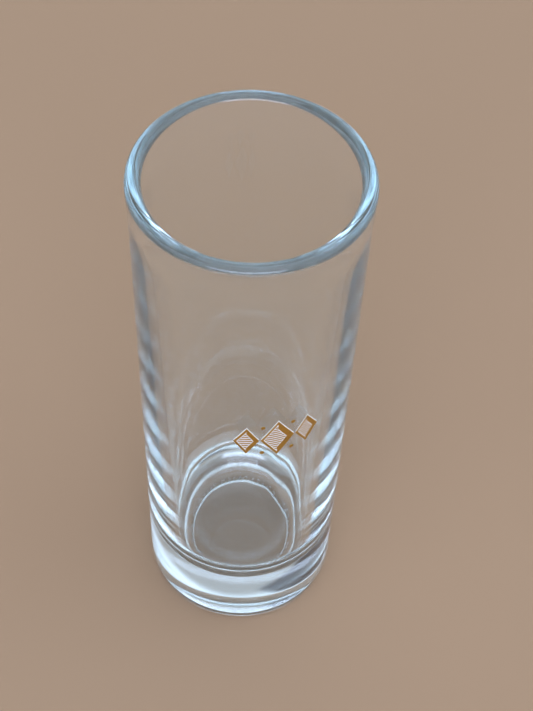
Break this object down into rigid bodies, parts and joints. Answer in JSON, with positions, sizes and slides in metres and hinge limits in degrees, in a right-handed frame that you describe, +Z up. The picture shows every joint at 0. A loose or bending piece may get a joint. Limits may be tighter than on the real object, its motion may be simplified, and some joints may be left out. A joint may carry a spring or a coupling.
{
  "type": "shot glass",
  "caption": "Tall clear shot glass with a thick solid base, a round melted lip and a small gold lozenge ornament on the front of the wall.",
  "frame": {"origin": "on the axis, in the plane of the ring that the glass stands on", "axes": "+Z up along the axis of the glass, -Y out through the gold ornament on the front of the wall"},
  "size_m": [0.0376, 0.0374, 0.104],
  "materials": {
    "clear_glass": "fire-polished, clear",
    "gold_print": "fired gold paint, satin",
    "white_underlay": "fired white enamel paint, satin"
  },
  "bodies": {
    "root": {"glass_body": "clear_glass", "print_middle_lozenge": "gold_print", "print_middle_hatching": "gold_print", "print_left_lozenge": "gold_print", "print_left_hatching": "gold_print", "print_right_lozenge": "gold_print", "print_right_hatching": "gold_print", "print_dots": "gold_print", "print_middle_underlay": "white_underlay", "print_left_underlay": "white_underlay", "print_right_underlay": "white_underlay"}
  },
  "joints": []
}
